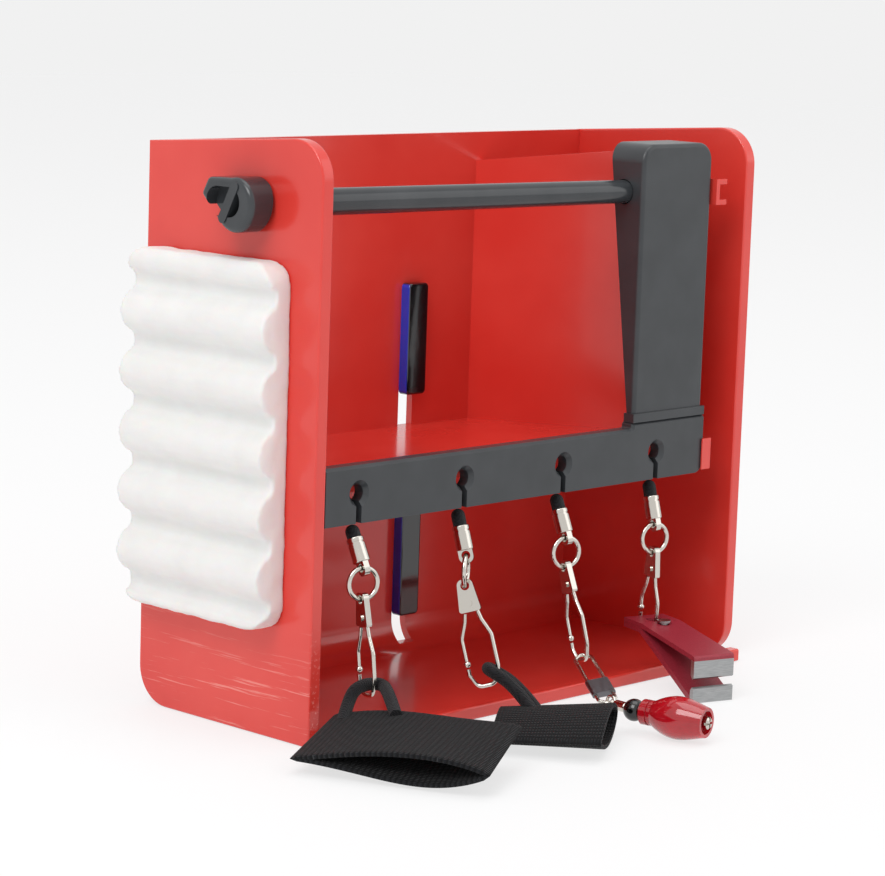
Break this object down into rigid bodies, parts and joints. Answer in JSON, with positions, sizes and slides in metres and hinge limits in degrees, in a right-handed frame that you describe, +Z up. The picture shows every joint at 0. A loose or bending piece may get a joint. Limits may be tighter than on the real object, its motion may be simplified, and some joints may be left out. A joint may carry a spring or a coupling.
{
  "type": "fly tying cabinet",
  "caption": "Open-fronted red caddy with a shelf, a spool spindle, a ripple foam patch and a keyhole bar from which small tools hang on clip lanyards.",
  "frame": {"origin": "centre of the footprint of the side panels, on the surface it stands on", "axes": "+X to the right along the front, +Y to the back, +Z up"},
  "size_m": [0.1854, 0.1248, 0.1493],
  "materials": {
    "red_plastic": "moulded sheet, half gloss",
    "grey_plastic": "moulded, satin",
    "white_foam": "closed-cell foam, matt",
    "black_plastic": "gloss",
    "black_cord": "braided",
    "black_webbing": "woven",
    "bright_metal": "polished",
    "dark_metal": "brushed",
    "tool_red": "translucent gloss",
    "nipper_red": "satin coat",
    "jaw_steel": "ground"
  },
  "bodies": {
    "cabinet": {"left_side_panel": "red_plastic", "right_side_panel": "red_plastic", "back_and_floor": "red_plastic", "shelf": "red_plastic", "divider_panel": "red_plastic", "lanyard_bar": "grey_plastic", "spindle_column": "grey_plastic", "foam_patch": "white_foam", "upper_strap_keeper": "black_plastic", "lower_strap_keeper": "black_plastic", "cord_knot_1": "black_cord", "cord_knot_2": "black_cord", "cord_knot_3": "black_cord", "cord_knot_4": "black_cord"},
    "spindle": {"spindle_rod": "grey_plastic"},
    "knob": {"spindle_knob": "grey_plastic"},
    "lanyard_1": {"cord_sleeve_1": "black_cord", "ferrule_1": "bright_metal", "split_ring_1": "bright_metal", "clip_head_1": "bright_metal", "clip_wire_1": "bright_metal", "strap_1": "black_webbing", "strap_1_cord": "black_cord"},
    "gate_1": {"clip_gate_1": "bright_metal"},
    "lanyard_2": {"cord_sleeve_2": "black_cord", "ferrule_2": "bright_metal", "split_ring_2": "bright_metal", "clip_head_2": "bright_metal", "clip_wire_2": "bright_metal", "strap_2": "black_webbing", "strap_2_cord": "black_cord"},
    "gate_2": {"clip_gate_2": "bright_metal"},
    "lanyard_3": {"cord_sleeve_3": "black_cord", "ferrule_3": "bright_metal", "split_ring_3": "bright_metal", "clip_head_3": "bright_metal", "clip_wire_3": "bright_metal", "link_wire": "bright_metal", "link_sleeve": "dark_metal", "swivel": "bright_metal", "tool_ball": "black_plastic", "tool_body": "tool_red", "tool_tip": "bright_metal"},
    "gate_3": {"clip_gate_3": "bright_metal"},
    "lanyard_4": {"cord_sleeve_4": "black_cord", "ferrule_4": "bright_metal", "split_ring_4": "bright_metal", "clip_head_4": "bright_metal", "clip_wire_4": "bright_metal", "nipper_lower_arm": "nipper_red", "nipper_lower_jaw": "jaw_steel", "nipper_pin": "jaw_steel"},
    "gate_4": {"clip_gate_4": "bright_metal"},
    "nipper_upper": {"nipper_upper_arm": "nipper_red", "nipper_upper_jaw": "jaw_steel"}
  },
  "joints": [
    {"name": "spindle_slide", "type": "slide", "parent": "cabinet", "child": "spindle", "axis": [-0.9914, 0.1305, -0.0042], "range_m": [0, 0.13]},
    {"name": "knob_turn", "type": "hinge", "parent": "spindle", "child": "knob", "pos_m": [-0.083, -0.009, 0.1325], "axis": [0.9914, -0.1305, 0.0042], "range_deg": [0, 90]},
    {"name": "lanyard_1_swing", "type": "hinge", "parent": "cabinet", "child": "lanyard_1", "pos_m": [-0.0678, -0.03, 0.0524], "axis": [-1, 0, 0], "range_deg": [0, 50]},
    {"name": "clip_1_gate", "type": "hinge", "parent": "lanyard_1", "child": "gate_1", "pos_m": [-0.06733, -0.03345, 0.02912], "axis": [-0.9613, 0.2736, -0.0336], "range_deg": [0, 8], "stiffness_Nm_per_rad": 0.0005},
    {"name": "lanyard_2_swing", "type": "hinge", "parent": "cabinet", "child": "lanyard_2", "pos_m": [-0.02997, -0.03, 0.0524], "axis": [-1, 0, 0], "range_deg": [0, 50]},
    {"name": "clip_2_gate", "type": "hinge", "parent": "lanyard_2", "child": "gate_2", "pos_m": [-0.03097, -0.0344, 0.02775], "axis": [-0.809, -0.5523, 0.201], "range_deg": [0, 8], "stiffness_Nm_per_rad": 0.0005},
    {"name": "lanyard_3_swing", "type": "hinge", "parent": "cabinet", "child": "lanyard_3", "pos_m": [0.00786, -0.03, 0.0524], "axis": [-1, 0, 0], "range_deg": [0, 50]},
    {"name": "clip_3_gate", "type": "hinge", "parent": "lanyard_3", "child": "gate_3", "pos_m": [0.00833, -0.03439, 0.02808], "axis": [-0.9613, 0.2636, -0.0806], "range_deg": [0, 8], "stiffness_Nm_per_rad": 0.0005},
    {"name": "lanyard_4_swing", "type": "hinge", "parent": "cabinet", "child": "lanyard_4", "pos_m": [0.04569, -0.03, 0.0524], "axis": [-1, 0, 0], "range_deg": [0, 50]},
    {"name": "clip_4_gate", "type": "hinge", "parent": "lanyard_4", "child": "gate_4", "pos_m": [0.04616, -0.03069, 0.0277], "axis": [-0.9613, 0.2753, 0.0144], "range_deg": [0, 8], "stiffness_Nm_per_rad": 0.0005},
    {"name": "nipper_squeeze", "type": "hinge", "parent": "lanyard_4", "child": "nipper_upper", "pos_m": [0.04322, -0.03937, 0.0149], "axis": [0.9539, -0.3, 0], "range_deg": [0, 4.2], "stiffness_Nm_per_rad": 0.05}
  ]
}
